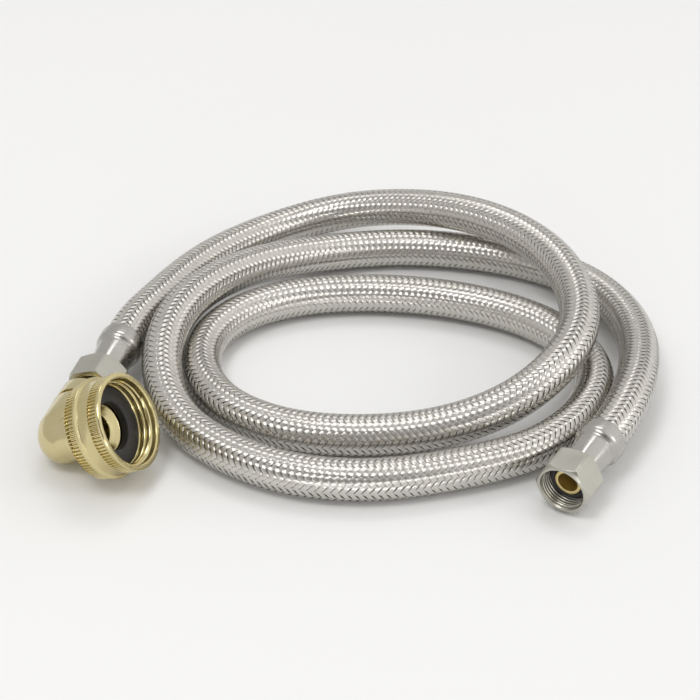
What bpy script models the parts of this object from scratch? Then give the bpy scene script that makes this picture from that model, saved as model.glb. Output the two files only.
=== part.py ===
"""Braided supply hose for a washing machine, lying in a loose coil.

Units are metres with +Z up, and the floor is z = 0.  A braided steel sleeve covers a rubber inner
tube.  Both ends are crimped in a ferrule round a brass stem that carries a hex compression nut.
One nut is screwed tight on a brass elbow with a knurled swivel nut, and the other nut turns freely.
"""
import math

import bmesh
import bpy
import numpy as np
from mathutils import Euler, Matrix, Vector

MM = 0.001
FIT = 0.3 * MM                 # gap between pieces that touch or fit
OVERRUN = 1.0 * MM             # how far a cutter runs past a face
TURNED_STEPS = 24              # facets round a turned piece
BORE_STEPS = 24                # facets round a bore
HEEL_STEPS = 7                 # facets down the elbow's round heel
SHARP_ANGLE = math.radians(40.0)

# Hose
HOSE_OD = 13.0 * MM
SLEEVE_WALL = 0.4 * MM
LINER_OD = HOSE_OD - 2 * SLEEVE_WALL - 2 * FIT
LINER_BORE = 8.6 * MM
HOSE_RING_COUNT = 72           # rings along the hose
HOSE_BEVEL_RESOLUTION = 3      # 10 sides
HOSE_END_DEPTH = 5.3 * MM      # how far the hose reaches into a ferrule

# Ferrule, along its axis from the lip where the braid goes in
FERRULE_LENGTH = 16.4 * MM
COLLAR_OD = 14.8 * MM
COLLAR_LENGTH = 5.6 * MM
COLLAR_SLOPE = 1.4 * MM
LIP_ROUND = 0.5 * MM
CRIMP_REAR_OD = 12.9 * MM      # across the corners of the crimped flats
CRIMP_FRONT_OD = 11.4 * MM
CRIMP_FLAT_COUNT = 8
ELBOW_FERRULE_TURN = math.radians(40.0)
FREE_FERRULE_TURN = math.radians(39.0)

# Stem, from its barb inside the hose to its tip inside the nut
STEM_BORE = 6.3 * MM
BARB_OD = 7.5 * MM
BARB_VALLEY_OD = 7.0 * MM
BARB_PITCH = 2.6 * MM
BARB_COUNT = 3
BARB_REACH = 3.0 * MM          # how far the barb reaches past the ferrule's lip
NECK_OD = 8.8 * MM
SHOULDER_OD = 12.2 * MM
SHOULDER_LENGTH = 1.5 * MM
TIP_OD = 8.6 * MM
TIP_LENGTH = 3.2 * MM
TIP_CHAMFER = 0.4 * MM

# Hex compression nut
NUT_ACROSS_FLATS = 15.9 * MM
NUT_LENGTH = 11.2 * MM
NUT_REAR_WALL = 2.2 * MM
NUT_CHAMBER_OD = 13.6 * MM     # thread crests
NUT_MOUTH_OD = 14.2 * MM
NUT_MOUTH_CHAMFER = 0.6 * MM
FREE_NUT_FRONT_ROUND_OD = 15.6 * MM
ELBOW_NUT_FRONT_ROUND_OD = 17.2 * MM
NUT_REAR_ROUND_OD = 15.0 * MM
FREE_NUT_FRONT_CHAMFER = 1.2 * MM
ELBOW_NUT_FRONT_CHAMFER = 0.5 * MM
NUT_REAR_CHAMFER = 2.0 * MM
ELBOW_NUT_TURN = math.radians(50.0)
FREE_NUT_TURN = math.radians(33.7)

# Cone washer on the stem's tip
CONE_BORE = TIP_OD + 2 * FIT
CONE_REAR_OD = 12.2 * MM
CONE_FRONT_OD = CONE_REAR_OD - 1.2 * MM
CONE_LENGTH = 2.6 * MM
CONE_STRAIGHT = 0.9 * MM

# Elbow, along its leg from the centre where leg and tail meet
ELBOW_HEEL_OD = 16.8 * MM
ELBOW_HEEL_RISE = 1.8 * MM        # how far the heel's round centre lies up the leg
ELBOW_BODY_OD = 17.8 * MM
ELBOW_BORE = 8.8 * MM
ELBOW_SWELL_LENGTH = 5.0 * MM     # where the body has its full diameter
ELBOW_BODY_LENGTH = 13.4 * MM
ELBOW_BODY_CHAMFER = 0.7 * MM
ELBOW_NOTCH_OD = 15.4 * MM
ELBOW_NOTCH_LENGTH = 1.3 * MM
ELBOW_NECK_OD = 17.4 * MM
ELBOW_NECK_CHAMFER = 0.9 * MM
ELBOW_RELIEF_OD = 12.2 * MM
ELBOW_RELIEF_LENGTH = 4.2 * MM
ELBOW_RELIEF_SETBACK = 3.0 * MM   # how far the neck ends before the nut's face
ELBOW_THREAD_LENGTH = 4.9 * MM    # how far the thread reaches into the nut
ELBOW_SEAT_OD = CONE_FRONT_OD + 1.1 * MM
ELBOW_SEAT_DEPTH = 5.0 * MM
ELBOW_LEG_TO_NUT = 23.9 * MM      # elbow centre to the nut's face
ELBOW_TAIL_OD = 14.6 * MM
ELBOW_TAIL_ROOT_OD = 12.8 * MM
ELBOW_TAIL_ROOT_LENGTH = 4.5 * MM
ELBOW_TAIL_CHAMFER = 0.6 * MM
ELBOW_SOCKET_DEPTH = 6.4 * MM

# Tailpiece, washer and swivel nut, along the tail; depths are measured from the nut's lip
WASHER_OD = 24.8 * MM
WASHER_HOLE = 14.6 * MM
WASHER_THICKNESS = 2.7 * MM
WASHER_CLEARANCE = 0.5 * MM
SWIVEL_LENGTH = 13.3 * MM
SWIVEL_STEPS = 36              # facets round the swivel nut
SWIVEL_THREAD_OD = WASHER_OD + 2 * WASHER_CLEARANCE
SWIVEL_THREAD_DEPTH = 2.2 * MM
SWIVEL_MOUTH_OD = SWIVEL_THREAD_OD + 1.6 * MM
SWIVEL_MOUTH_CHAMFER = 0.5 * MM
SWIVEL_BAND_OD = SWIVEL_THREAD_OD + 3.9 * MM
SWIVEL_LIP_OD = SWIVEL_BAND_OD + 0.3 * MM
SWIVEL_LIP_LENGTH = 1.2 * MM
SWIVEL_LIP_CHAMFER = 0.4 * MM
SWIVEL_RIDGE_OD = SWIVEL_BAND_OD + 1.7 * MM
SWIVEL_RIDGE_DEPTH = 8.4 * MM
SWIVEL_RIDGE_LENGTH = 1.0 * MM
SWIVEL_REAR_BAND_OD = SWIVEL_BAND_OD + 0.9 * MM
SWIVEL_REAR_OD = SWIVEL_BAND_OD - 0.9 * MM
SWIVEL_REAR_CHAMFER = 0.8 * MM
SWIVEL_REAR_WALL = 2.5 * MM
SWIVEL_TO_ELBOW_GAP = 0.4 * MM
LIP_TO_ELBOW_CENTRE = 25.2 * MM
TAIL_PIPE_OD = 12.0 * MM
TAIL_PIPE_BORE = 8.7 * MM
TAIL_PIPE_CLEARANCE = 0.4 * MM
TAIL_FLANGE_OD = WASHER_OD - 2.4 * MM
TAIL_FLANGE_THICKNESS = 1.5 * MM
TAIL_SINK_OD = 13.8 * MM
TAIL_SINK_DEPTH = 1.9 * MM

# Where the two ends lie
ELBOW_CENTRE = Vector((-89.1, -57.4, 9.2)) * MM
LEG_AZIMUTH = math.radians(75.0)
LEG_RISE = math.radians(3.0)
TAIL_ROLL = math.radians(28.0)
FREE_MOUTH = Vector((59.2, -82.1, 9.3)) * MM
FREE_AZIMUTH = math.radians(57.7)
FREE_RISE = math.radians(4.0)
STRAIGHT_RUN = 7.0 * MM        # the hose leaves each ferrule straight for this far

# The hose's route between the two ferrules, in millimetres, chosen by hand
ROUTE_MM = (
    (-66.7, 17.5, 11.7), (-59.0, 35.5, 9.9), (-46.8, 55.5, 7.9), (-29.0, 72.0, 7.0), (-6.0, 78.5, 10.4),
    (17.5, 72.4, 15.9), (38.5, 60.1, 20.2), (56.5, 43.6, 21.6), (68.0, 22.8, 21.3),
    (71.5, -0.5, 20.8), (66.0, -24.5, 19.8), (50.0, -41.5, 14.4), (27.5, -49.0, 8.6),
    (3.5, -51.5, 6.8), (-21.0, -48.5, 6.8), (-41.5, -35.0, 6.8), (-50.5, -13.0, 6.8),
    (-44.0, 10.5, 6.8), (-24.5, 25.0, 6.8), (-0.5, 29.5, 6.8), (23.5, 27.5, 6.8),
    (47.0, 19.5, 6.8), (66.2, 4.5, 6.8), (75.2, -18.0, 6.8), (69.4, -40.6, 6.8),
    (52.4, -58.8, 6.8), (29.5, -68.5, 6.8), (5.5, -73.5, 6.8), (-18.5, -71.0, 6.8),
    (-40.5, -59.5, 6.9), (-56.5, -41.5, 8.4), (-62.2, -18.5, 13.0), (-57.7, 5.5, 16.0),
    (-46.0, 26.5, 14.4), (-29.5, 44.0, 10.6), (-8.5, 55.5, 7.4), (16.0, 59.5, 6.8),
    (40.5, 56.5, 6.8), (63.0, 48.0, 6.8), (81.5, 31.5, 6.8), (90.0, 9.0, 8.1),
    (90.0, -15.5, 10.8), (84.0, -39.5, 12.6),
)

# Places along an end's own axis, worked out from the sizes above
NUT_REAR = FERRULE_LENGTH + FIT
NUT_FACE = NUT_REAR + NUT_LENGTH
NUT_CHAMBER = NUT_REAR + NUT_REAR_WALL
STEM_SHOULDER = NUT_CHAMBER + FIT
STEM_TIP_ROOT = STEM_SHOULDER + SHOULDER_LENGTH
STEM_TIP_END = STEM_TIP_ROOT + TIP_LENGTH
CONE_REAR = STEM_TIP_ROOT + FIT
NECK_START = HOSE_END_DEPTH + 2 * FIT
HOSE_POCKET_END = HOSE_END_DEPTH + FIT
NECK_HOLE_OD = NECK_OD + 2 * FIT
ELBOW_THREAD_OD = NUT_CHAMBER_OD - 2 * FIT
SWIVEL_REAR_FROM_CENTRE = LIP_TO_ELBOW_CENTRE - SWIVEL_LENGTH
ELBOW_TAIL_LENGTH = SWIVEL_REAR_FROM_CENTRE - SWIVEL_TO_ELBOW_GAP
FLANGE_BACK = SWIVEL_REAR_FROM_CENTRE + SWIVEL_REAR_WALL + FIT
FLANGE_FACE = FLANGE_BACK + TAIL_FLANGE_THICKNESS


def clear_scene():
    """Remove whatever the file holds."""
    for obj in list(bpy.data.objects):
        bpy.data.objects.remove(obj, do_unlink=True)


def collection(name):
    """Make a collection in the scene."""
    made = bpy.data.collections.new(name)
    bpy.context.scene.collection.children.link(made)
    return made


def finish(name, colour, roughness, metallic):
    """Make a plain Principled BSDF material."""
    material = bpy.data.materials.new(name)
    material.use_nodes = True
    shader = material.node_tree.nodes["Principled BSDF"]
    shader.inputs["Base Color"].default_value = (*colour, 1.0)
    shader.inputs["Roughness"].default_value = roughness
    shader.inputs["Metallic"].default_value = metallic
    return material


def along(origin, direction, turn=0.0):
    """Give the matrix of a frame whose +Z runs along direction, turned about it."""
    z_axis = direction.normalized()
    x_axis = Vector((0.0, 0.0, 1.0)).cross(z_axis).normalized()
    y_axis = z_axis.cross(x_axis)
    turned_x = x_axis * math.cos(turn) + y_axis * math.sin(turn)
    turned_y = z_axis.cross(turned_x)
    frame = Matrix((turned_x, turned_y, z_axis)).transposed().to_4x4()
    return Matrix.Translation(origin) @ frame


def heading(azimuth, rise):
    """Give the unit vector with this bearing from +X and this rise above the floor."""
    flat = math.cos(rise)
    return Vector((flat * math.cos(azimuth), flat * math.sin(azimuth), math.sin(rise)))


def dress(obj, target, material):
    """Put an object in its collection with its material."""
    for holder in list(obj.users_collection):
        holder.objects.unlink(obj)
    target.objects.link(obj)
    obj.data.materials.clear()
    if material is not None:
        obj.data.materials.append(material)
    return obj


def turned(name, profile, frame, target, material=None, steps=TURNED_STEPS):
    """Turn a profile of (radius, height) points about +Z with a Screw modifier.

    A profile that touches the axis at both ends stays open, and any other is closed to a ring.
    Its outer side runs from the top down.
    """
    mesh = bpy.data.meshes.new(name)
    shape = bmesh.new()
    points = [shape.verts.new((radius, 0.0, height)) for radius, height in profile]
    for first, second in zip(points, points[1:]):
        shape.edges.new((first, second))
    if profile[0][0] > 0.0 and profile[-1][0] > 0.0:
        shape.edges.new((points[-1], points[0]))
    shape.to_mesh(mesh)
    shape.free()
    obj = bpy.data.objects.new(name, mesh)
    dress(obj, target, material)
    screw = obj.modifiers.new("turn", "SCREW")
    screw.axis = "Z"
    screw.steps = steps
    screw.render_steps = steps
    screw.use_merge_vertices = True
    screw.merge_threshold = 0.000001
    screw.use_smooth_shade = True
    obj.matrix_world = frame
    return obj


def prism(name, sides, rear_od, front_od, rear, front, frame, target, material=None):
    """Make a straight or tapered prism along +Z, with its width across the corners."""
    mesh = bpy.data.meshes.new(name)
    shape = bmesh.new()
    middle = Matrix.Translation((0.0, 0.0, (rear + front) / 2))
    bmesh.ops.create_cone(shape, cap_ends=True, cap_tris=False, segments=sides,
                          radius1=rear_od / 2, radius2=front_od / 2,
                          depth=front - rear, matrix=middle)
    shape.to_mesh(mesh)
    shape.free()
    obj = bpy.data.objects.new(name, mesh)
    dress(obj, target, material)
    obj.matrix_world = frame
    return obj


def hide_cutter(cutter):
    """Show a cutter as a wire guide only."""
    cutter.hide_render = True
    cutter.display_type = "WIRE"
    return cutter


def boolean(obj, cutter, operation):
    """Join, cut or trim an object with a cutter, exactly."""
    modifier = obj.modifiers.new(operation.lower(), "BOOLEAN")
    modifier.operation = operation
    modifier.object = hide_cutter(cutter)
    modifier.solver = "EXACT"
    return modifier


def round_path(points, count):
    """Read evenly spaced points from the natural cubic spline through a list of points."""
    knots = np.array([tuple(point) for point in points])
    chords = np.linalg.norm(np.diff(knots, axis=0), axis=1)
    at = np.concatenate(([0.0], np.cumsum(chords)))
    size = len(knots)
    system = np.zeros((size, size))
    right = np.zeros((size, 3))
    system[0, 0] = system[-1, -1] = 1.0
    for row in range(1, size - 1):
        before, after = chords[row - 1], chords[row]
        system[row, row - 1:row + 2] = before, 2.0 * (before + after), after
        right[row] = 6.0 * ((knots[row + 1] - knots[row]) / after
                            - (knots[row] - knots[row - 1]) / before)
    bend = np.linalg.solve(system, right)
    dense = np.linspace(0.0, at[-1], 40 * size)
    piece = np.clip(np.searchsorted(at, dense, side="right") - 1, 0, size - 2)
    span = chords[piece][:, None]
    before = (dense - at[piece])[:, None]
    after = span - before
    curve = (bend[piece] * after ** 3 / (6.0 * span) + bend[piece + 1] * before ** 3 / (6.0 * span)
             + (knots[piece] / span - bend[piece] * span / 6.0) * after
             + (knots[piece + 1] / span - bend[piece + 1] * span / 6.0) * before)
    run = np.concatenate(([0.0], np.cumsum(np.linalg.norm(np.diff(curve, axis=0), axis=1))))
    stations = np.linspace(0.0, run[-1], count)
    return np.stack([np.interp(stations, run, curve[:, k]) for k in range(3)], axis=1)


def hose_path():
    """Give the hose's centreline, from inside one ferrule to inside the other."""
    elbow_lip, leg = elbow_lip_point(), heading(LEG_AZIMUTH, LEG_RISE)
    free_lip, back = free_lip_point(), heading(FREE_AZIMUTH, FREE_RISE)
    start = [elbow_lip - leg * HOSE_END_DEPTH, elbow_lip, elbow_lip + leg * STRAIGHT_RUN]
    end = [free_lip + back * STRAIGHT_RUN, free_lip, free_lip - back * HOSE_END_DEPTH]
    route = [Vector(point) * MM for point in ROUTE_MM]
    return round_path(start + route + end, HOSE_RING_COUNT)


def tube(name, outer_od, wall, target, material):
    """Sweep a round tube with a wall along the hose's path."""
    curve = bpy.data.curves.new(name + "_path", "CURVE")
    curve.dimensions = "3D"
    curve.bevel_depth = outer_od / 2
    curve.bevel_resolution = HOSE_BEVEL_RESOLUTION
    spline = curve.splines.new("POLY")
    path = hose_path()
    spline.points.add(len(path) - 1)
    for point, place in zip(spline.points, path):
        point.co = (*place, 1.0)
    sweep = bpy.data.objects.new(name + "_path", curve)
    bpy.context.scene.collection.objects.link(sweep)
    bpy.context.view_layer.update()
    evaluated = sweep.evaluated_get(bpy.context.evaluated_depsgraph_get())
    mesh = bpy.data.meshes.new_from_object(evaluated)
    bpy.data.objects.remove(sweep, do_unlink=True)
    shape = bmesh.new()
    shape.from_mesh(mesh)
    bmesh.ops.remove_doubles(shape, verts=shape.verts, dist=0.000001)
    bmesh.ops.recalc_face_normals(shape, faces=shape.faces)
    shape.to_mesh(mesh)
    shape.free()
    mesh.name = name
    mesh.shade_smooth()
    mesh.set_sharp_from_angle(angle=SHARP_ANGLE)
    obj = bpy.data.objects.new(name, mesh)
    dress(obj, target, material)
    solidify = obj.modifiers.new("wall", "SOLIDIFY")
    solidify.thickness = wall
    solidify.offset = -1.0
    solidify.use_even_offset = True
    return obj


def elbow_lip_point():
    """Give the place where the braid goes into the elbow end's ferrule."""
    return ELBOW_CENTRE + heading(LEG_AZIMUTH, LEG_RISE) * (ELBOW_LEG_TO_NUT + NUT_FACE)


def free_lip_point():
    """Give the place where the braid goes into the free end's ferrule."""
    return FREE_MOUTH + heading(FREE_AZIMUTH, FREE_RISE) * NUT_FACE


def ferrule(name, frame, parts, cutters, material):
    """Crimped ferrule: a round collar over the braid and a faceted neck towards the nut."""
    collar_radius = COLLAR_OD / 2
    slope_end = COLLAR_LENGTH + COLLAR_SLOPE
    profile = [
        (0.0, slope_end),
        (CRIMP_REAR_OD / 2 - FIT, slope_end),
        (collar_radius, COLLAR_LENGTH),
        (collar_radius, LIP_ROUND),
        (collar_radius - LIP_ROUND / 3, LIP_ROUND / 3),
        (collar_radius - LIP_ROUND, 0.0),
        (0.0, 0.0),
    ]
    piece = turned(name, profile, frame, parts, material)
    neck = prism(name + "_neck", CRIMP_FLAT_COUNT, CRIMP_REAR_OD, CRIMP_FRONT_OD,
                 COLLAR_LENGTH, FERRULE_LENGTH, frame, cutters)
    boolean(piece, neck, "UNION")
    pocket_radius = HOSE_OD / 2 + FIT
    hole_radius = NECK_HOLE_OD / 2
    bore = [
        (0.0, FERRULE_LENGTH + OVERRUN),
        (hole_radius, FERRULE_LENGTH + OVERRUN),
        (hole_radius, HOSE_POCKET_END),
        (pocket_radius, HOSE_POCKET_END),
        (pocket_radius, -OVERRUN),
        (0.0, -OVERRUN),
    ]
    boolean(piece, turned(name + "_bore", bore, frame, cutters, steps=BORE_STEPS), "DIFFERENCE")
    return piece


def stem(name, frame, parts, material):
    """Brass stem: barbs in the hose, a neck through ferrule and nut, a shoulder and a tip."""
    bore_radius = STEM_BORE / 2
    profile = [
        (bore_radius, STEM_TIP_END),
        (TIP_OD / 2 - TIP_CHAMFER, STEM_TIP_END),
        (TIP_OD / 2, STEM_TIP_END - TIP_CHAMFER),
        (TIP_OD / 2, STEM_TIP_ROOT),
        (SHOULDER_OD / 2, STEM_TIP_ROOT),
        (SHOULDER_OD / 2, STEM_SHOULDER),
        (NECK_OD / 2, STEM_SHOULDER),
        (NECK_OD / 2, NECK_START),
        (BARB_VALLEY_OD / 2, NECK_START),
    ]
    for index in range(BARB_COUNT):
        top = HOSE_END_DEPTH - FIT - index * BARB_PITCH
        profile.append((BARB_OD / 2, top))
        profile.append((BARB_VALLEY_OD / 2, top - BARB_PITCH))
    profile.append((BARB_VALLEY_OD / 2, -BARB_REACH))
    profile.append((bore_radius, -BARB_REACH))
    return turned(name, profile, frame, parts, material)


def hex_nut(name, frame, front_round_od, front_chamfer, parts, cutters, material):
    """Hex compression nut: chamfered hexagon with a threaded chamber and a hole in its rear wall."""
    corner_od = NUT_ACROSS_FLATS / math.cos(math.pi / 6)
    nut = prism(name, 6, corner_od, corner_od, NUT_REAR, NUT_FACE, frame, parts, material)
    rear_rise = (corner_od - NUT_REAR_ROUND_OD) / 2
    round_body = [
        (0.0, NUT_FACE + OVERRUN),
        (front_round_od / 2, NUT_FACE + OVERRUN),
        (front_round_od / 2, NUT_FACE),
        (corner_od / 2 + FIT, NUT_FACE - front_chamfer),
        (corner_od / 2 + FIT, NUT_REAR + NUT_REAR_CHAMFER),
        (NUT_REAR_ROUND_OD / 2 + rear_rise * 0.6, NUT_REAR + NUT_REAR_CHAMFER * 0.35),
        (NUT_REAR_ROUND_OD / 2, NUT_REAR),
        (NUT_REAR_ROUND_OD / 2, NUT_REAR - OVERRUN),
        (0.0, NUT_REAR - OVERRUN),
    ]
    boolean(nut, turned(name + "_round", round_body, frame, cutters), "INTERSECT")
    chamber_radius = NUT_CHAMBER_OD / 2
    hole_radius = NECK_HOLE_OD / 2
    mouth_radius = NUT_MOUTH_OD / 2
    bore = [
        (0.0, NUT_FACE + OVERRUN),
        (mouth_radius, NUT_FACE + OVERRUN),
        (mouth_radius, NUT_FACE),
        (chamber_radius, NUT_FACE - NUT_MOUTH_CHAMFER),
        (chamber_radius, NUT_CHAMBER),
        (hole_radius, NUT_CHAMBER),
        (hole_radius, NUT_REAR - OVERRUN),
        (0.0, NUT_REAR - OVERRUN),
    ]
    boolean(nut, turned(name + "_bore", bore, frame, cutters, steps=BORE_STEPS), "DIFFERENCE")
    return nut


def cone_washer(name, frame, parts, material):
    """Rubber cone washer on the stem's tip."""
    front = CONE_REAR + CONE_LENGTH
    profile = [
        (CONE_BORE / 2, front),
        (CONE_FRONT_OD / 2, front),
        (CONE_REAR_OD / 2, CONE_REAR + CONE_STRAIGHT),
        (CONE_REAR_OD / 2, CONE_REAR),
        (CONE_BORE / 2, CONE_REAR),
    ]
    return turned(name, profile, frame, parts, material)


def elbow_leg_profile():
    """Outline of the elbow's leg, from the threaded end down to the round heel."""
    heel = ELBOW_HEEL_OD / 2
    body = ELBOW_BODY_OD / 2
    notch = ELBOW_NOTCH_OD / 2
    neck = ELBOW_NECK_OD / 2
    relief = ELBOW_RELIEF_OD / 2
    thread = ELBOW_THREAD_OD / 2
    end = ELBOW_LEG_TO_NUT + ELBOW_THREAD_LENGTH
    neck_end = ELBOW_LEG_TO_NUT - ELBOW_RELIEF_SETBACK
    notch_end = ELBOW_BODY_LENGTH + ELBOW_NOTCH_LENGTH
    profile = [
        (0.0, end),
        (thread - FIT, end),
        (thread, end - FIT),
        (thread, neck_end + ELBOW_RELIEF_LENGTH),
        (relief, neck_end + ELBOW_RELIEF_LENGTH - FIT),
        (relief, neck_end),
        (neck - ELBOW_NECK_CHAMFER, neck_end),
        (neck, neck_end - ELBOW_NECK_CHAMFER),
        (neck, notch_end),
        (notch, notch_end),
        (notch, ELBOW_BODY_LENGTH),
        (body - ELBOW_BODY_CHAMFER, ELBOW_BODY_LENGTH),
        (body, ELBOW_BODY_LENGTH - ELBOW_BODY_CHAMFER),
        (body, ELBOW_SWELL_LENGTH),
    ]
    for index in range(HEEL_STEPS):
        angle = math.pi / 2 * index / HEEL_STEPS
        height = ELBOW_HEEL_RISE - heel * math.sin(angle)
        profile.append((heel * math.cos(angle), height))
    profile.append((0.0, ELBOW_HEEL_RISE - heel))
    return profile


def elbow(name, leg_frame, tail_frame, parts, cutters, material):
    """Brass elbow: a leg with a round heel, a tail boss, and two bores that meet."""
    piece = turned(name, elbow_leg_profile(), leg_frame, parts, material)
    tail = ELBOW_TAIL_OD / 2
    boss = [
        (0.0, ELBOW_TAIL_LENGTH),
        (tail - ELBOW_TAIL_CHAMFER, ELBOW_TAIL_LENGTH),
        (tail, ELBOW_TAIL_LENGTH - ELBOW_TAIL_CHAMFER),
        (tail, ELBOW_TAIL_ROOT_LENGTH),
        (ELBOW_TAIL_ROOT_OD / 2, 0.0),
        (0.0, 0.0),
    ]
    boolean(piece, turned(name + "_boss", boss, tail_frame, cutters), "UNION")
    end = ELBOW_LEG_TO_NUT + ELBOW_THREAD_LENGTH
    bore = ELBOW_BORE / 2
    leg_bore = [
        (0.0, end + OVERRUN),
        (ELBOW_SEAT_OD / 2 + FIT, end + OVERRUN),
        (ELBOW_SEAT_OD / 2, end),
        (bore, end - ELBOW_SEAT_DEPTH),
        (bore, -bore),
        (0.0, -bore),
    ]
    boolean(piece, turned(name + "_leg_bore", leg_bore, leg_frame, cutters, steps=BORE_STEPS),
            "DIFFERENCE")
    socket = TAIL_PIPE_OD / 2 + FIT
    socket_floor = ELBOW_TAIL_LENGTH - ELBOW_SOCKET_DEPTH
    tail_bore = [
        (0.0, ELBOW_TAIL_LENGTH + OVERRUN),
        (socket, ELBOW_TAIL_LENGTH + OVERRUN),
        (socket, socket_floor),
        (bore * 0.97, socket_floor),
        (bore * 0.97, 0.0),
        (0.0, 0.0),
    ]
    boolean(piece, turned(name + "_tail_bore", tail_bore, tail_frame, cutters, steps=BORE_STEPS),
            "DIFFERENCE")
    return piece


def tailpiece(name, tail_frame, parts, material):
    """Flanged tail that is pressed into the elbow and holds the swivel nut."""
    bore = TAIL_PIPE_BORE / 2
    pipe = TAIL_PIPE_OD / 2
    rear = ELBOW_TAIL_LENGTH - ELBOW_SOCKET_DEPTH + FIT
    profile = [
        (TAIL_SINK_OD / 2, FLANGE_FACE),
        (TAIL_FLANGE_OD / 2, FLANGE_FACE),
        (TAIL_FLANGE_OD / 2, FLANGE_BACK),
        (pipe, FLANGE_BACK),
        (pipe, rear),
        (bore, rear),
        (bore, FLANGE_FACE - TAIL_SINK_DEPTH),
    ]
    return turned(name, profile, tail_frame, parts, material)


def hose_washer(name, tail_frame, parts, material):
    """Flat rubber washer on the tail's flange, held in the swivel nut's thread."""
    rear = FLANGE_FACE + FIT
    front = rear + WASHER_THICKNESS
    profile = [
        (WASHER_HOLE / 2, front),
        (WASHER_OD / 2, front),
        (WASHER_OD / 2, rear),
        (WASHER_HOLE / 2, rear),
    ]
    return turned(name, profile, tail_frame, parts, material)


def swivel_nut(name, tail_frame, parts, material):
    """Knurled brass swivel nut, turned about the tail; the knurls are left as plain bands."""
    lip = LIP_TO_ELBOW_CENTRE
    rear = SWIVEL_REAR_FROM_CENTRE
    band = SWIVEL_BAND_OD / 2
    ridge = SWIVEL_RIDGE_OD / 2
    rear_band = SWIVEL_REAR_BAND_OD / 2
    ridge_top = lip - SWIVEL_RIDGE_DEPTH
    ridge_low = ridge_top - SWIVEL_RIDGE_LENGTH
    lip_radius = SWIVEL_LIP_OD / 2
    thread = SWIVEL_THREAD_OD / 2
    hole = TAIL_PIPE_OD / 2 + TAIL_PIPE_CLEARANCE
    profile = [
        (lip_radius - SWIVEL_LIP_CHAMFER, lip),
        (lip_radius, lip - SWIVEL_LIP_CHAMFER),
        (lip_radius, lip - SWIVEL_LIP_LENGTH),
        (band, lip - SWIVEL_LIP_LENGTH - FIT),
        (band, ridge_top + FIT),
        (ridge, ridge_top),
        (ridge, ridge_low),
        (rear_band, ridge_low - FIT),
        (SWIVEL_REAR_OD / 2 + FIT, rear + SWIVEL_REAR_CHAMFER),
        (SWIVEL_REAR_OD / 2, rear),
        (hole, rear),
        (hole, rear + SWIVEL_REAR_WALL),
        (thread, rear + SWIVEL_REAR_WALL),
        (thread, lip - SWIVEL_THREAD_DEPTH - FIT),
        (SWIVEL_MOUTH_OD / 2 - SWIVEL_MOUTH_CHAMFER, lip - SWIVEL_THREAD_DEPTH),
        (SWIVEL_MOUTH_OD / 2 - SWIVEL_MOUTH_CHAMFER, lip - SWIVEL_MOUTH_CHAMFER),
        (SWIVEL_MOUTH_OD / 2, lip),
    ]
    return turned(name, profile, tail_frame, parts, material, steps=SWIVEL_STEPS)


def tail_direction():
    """Give the unit vector out of the swivel nut, square to the elbow's leg."""
    turn = (Euler((0.0, 0.0, LEG_AZIMUTH)).to_matrix() @ Euler((0.0, -LEG_RISE, 0.0)).to_matrix()
            @ Euler((-TAIL_ROLL, 0.0, 0.0)).to_matrix())
    return turn @ Vector((0.0, -1.0, 0.0))


def build():
    """Make every piece of the hose."""
    clear_scene()
    parts = collection("braided supply hose")
    cutters = collection("cutters")
    steel_braid = finish("steel braid", (0.55, 0.54, 0.52), 0.35, 1.0)
    steel = finish("bright steel", (0.62, 0.61, 0.59), 0.25, 1.0)
    nickel = finish("satin nickel", (0.55, 0.54, 0.49), 0.35, 1.0)
    brass = finish("machined brass", (0.76, 0.66, 0.36), 0.3, 1.0)
    rubber = finish("black rubber", (0.03, 0.03, 0.03), 0.6, 0.0)

    tube("braided_sleeve", HOSE_OD, SLEEVE_WALL, parts, steel_braid)
    tube("inner_tube", LINER_OD, (LINER_OD - LINER_BORE) / 2, parts, rubber)

    leg = heading(LEG_AZIMUTH, LEG_RISE)
    back = heading(FREE_AZIMUTH, FREE_RISE)
    ends = (
        ("elbow_end", elbow_lip_point(), -leg, ELBOW_FERRULE_TURN, ELBOW_NUT_TURN,
         ELBOW_NUT_FRONT_ROUND_OD, ELBOW_NUT_FRONT_CHAMFER),
        ("free_end", free_lip_point(), -back, FREE_FERRULE_TURN, FREE_NUT_TURN,
         FREE_NUT_FRONT_ROUND_OD, FREE_NUT_FRONT_CHAMFER),
    )
    for end, place, out, ferrule_turn, nut_turn, front_round_od, front_chamfer in ends:
        frame = along(place, out)
        ferrule(end + "_ferrule", along(place, out, ferrule_turn), parts, cutters, steel)
        stem(end + "_stem", frame, parts, brass)
        hex_nut(end + "_hex_nut", along(place, out, nut_turn), front_round_od, front_chamfer,
                parts, cutters, nickel)
        cone_washer(end + "_cone_washer", frame, parts, rubber)

    leg_frame = along(ELBOW_CENTRE, leg)
    tail_frame = along(ELBOW_CENTRE, tail_direction())
    elbow("elbow_body", leg_frame, tail_frame, parts, cutters, brass)
    tailpiece("swivel_tailpiece", tail_frame, parts, brass)
    hose_washer("hose_washer", tail_frame, parts, rubber)
    swivel_nut("swivel_nut", tail_frame, parts, brass)


if __name__ == "__main__":
    build()
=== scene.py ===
"""The looks of a braided supply hose for a washing machine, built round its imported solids.

Units are metres in the frame of the solids, with +Z up and the floor at z = 0.  The sizes of a piece are
in millimetres, and are turned to metres where its mesh is made.  The route and the studio are in metres.
"""

import logging
import math
from collections.abc import Callable
from dataclasses import dataclass, field
from enum import Enum

import bpy
import numpy as np
from mathutils import Euler, Matrix, Vector


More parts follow.
